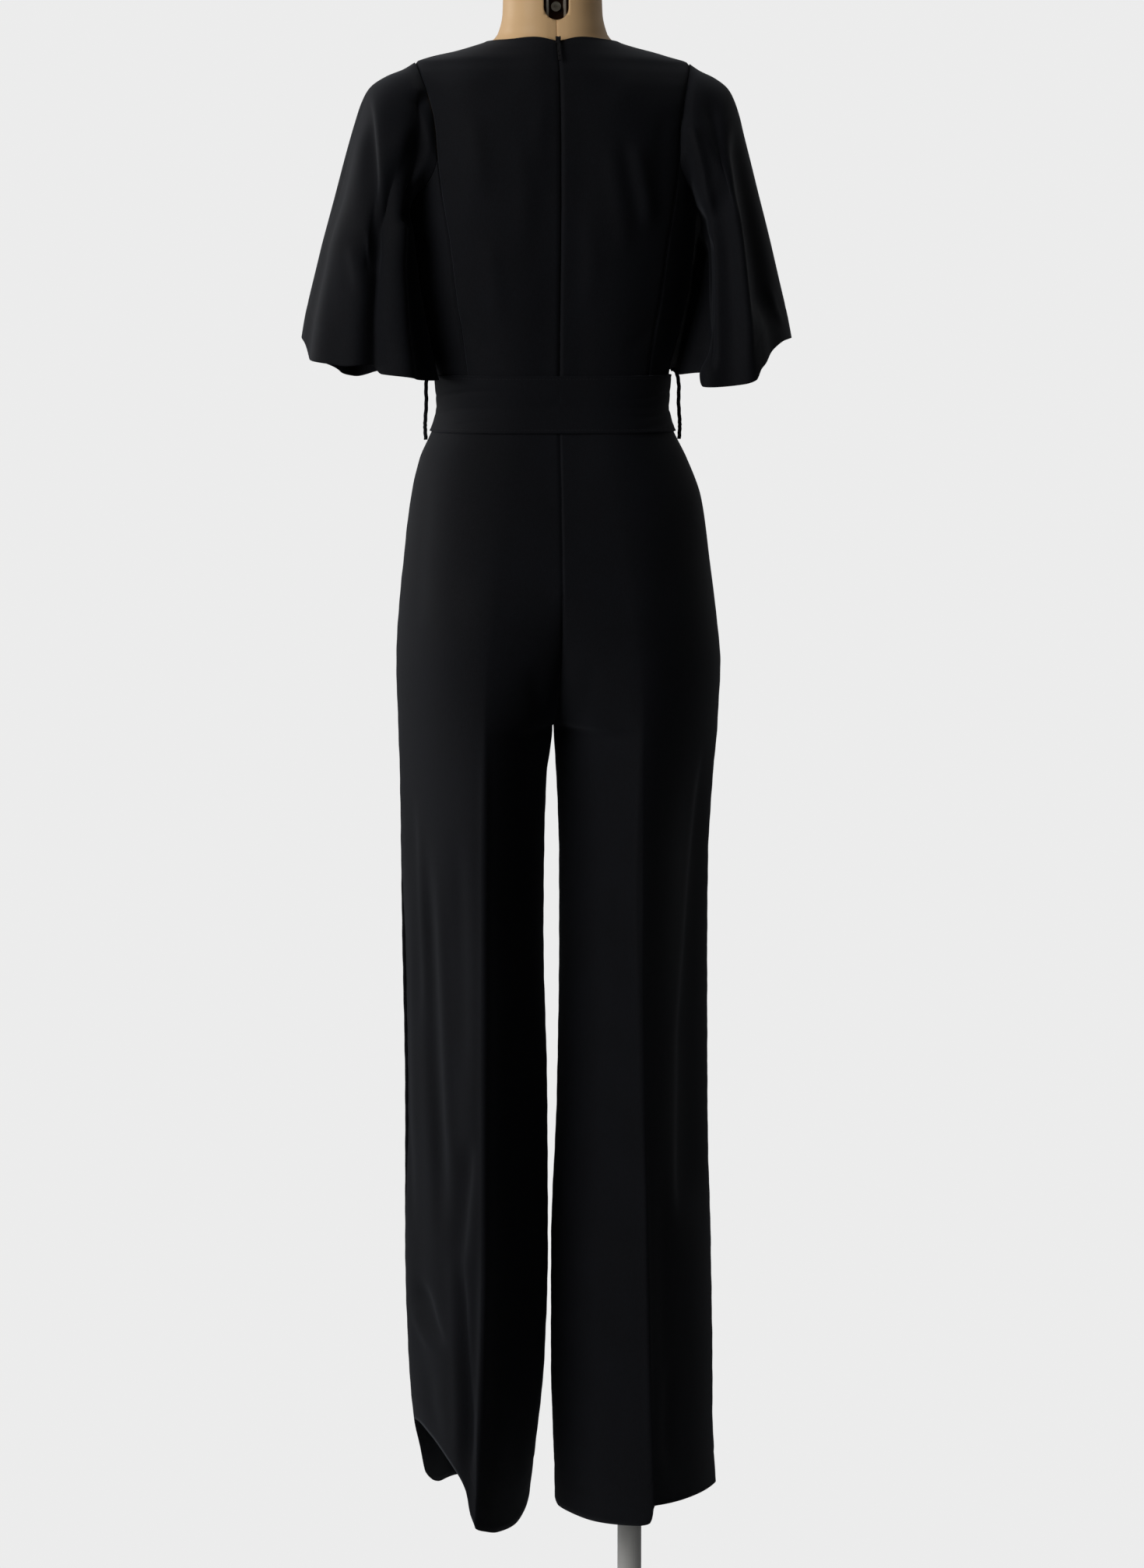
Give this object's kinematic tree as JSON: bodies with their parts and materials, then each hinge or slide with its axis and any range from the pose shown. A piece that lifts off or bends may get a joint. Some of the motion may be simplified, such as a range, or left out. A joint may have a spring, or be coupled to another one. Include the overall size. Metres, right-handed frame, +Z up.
{
  "type": "jumpsuit on a limbless dress form",
  "caption": "Black jumpsuit with flared sleeves, wide belt and creased wide trousers, zipped at the back, worn by a limbless dress form on a pole and a round base.",
  "frame": {"origin": "centre of the base's underside, on the floor", "axes": "+Z up, +Y towards the garment's back, +X towards its left side"},
  "size_m": [0.4912, 0.344, 1.7],
  "materials": {
    "crepe": "dull black crepe with a fine grain",
    "zip_tape": "woven black tape",
    "zip_metal": "black enamel, worn bright at the tip",
    "form": "skin-toned, satin gloss",
    "fitting_metal": "bright steel",
    "stand": "pale grey, satin"
  },
  "bodies": {
    "garment": {"back_middle_left": "crepe", "back_side_left": "crepe", "front_side_left": "crepe", "sleeve_left": "crepe", "leg_back_left": "crepe", "leg_front_left": "crepe", "belt_loop_left": "crepe", "back_middle_right": "crepe", "back_side_right": "crepe", "front_side_right": "crepe", "sleeve_right": "crepe", "leg_back_right": "crepe", "leg_front_right": "crepe", "belt_loop_right": "crepe", "front_middle": "crepe", "belt": "crepe", "zip_tape": "zip_tape", "zip_slider": "zip_metal", "form_torso": "form", "neck_fitting": "fitting_metal", "neck_screw": "fitting_metal", "stand_pole": "stand", "stand_base": "stand"},
    "zip_pull_tab": {"zip_pull": "zip_metal"}
  },
  "joints": [
    {"name": "zip_pull_hinge", "type": "hinge", "parent": "garment", "child": "zip_pull_tab", "pos_m": [0, 0.0638, 1.63668], "axis": [1, 0, 0], "range_deg": [0, 150]}
  ]
}
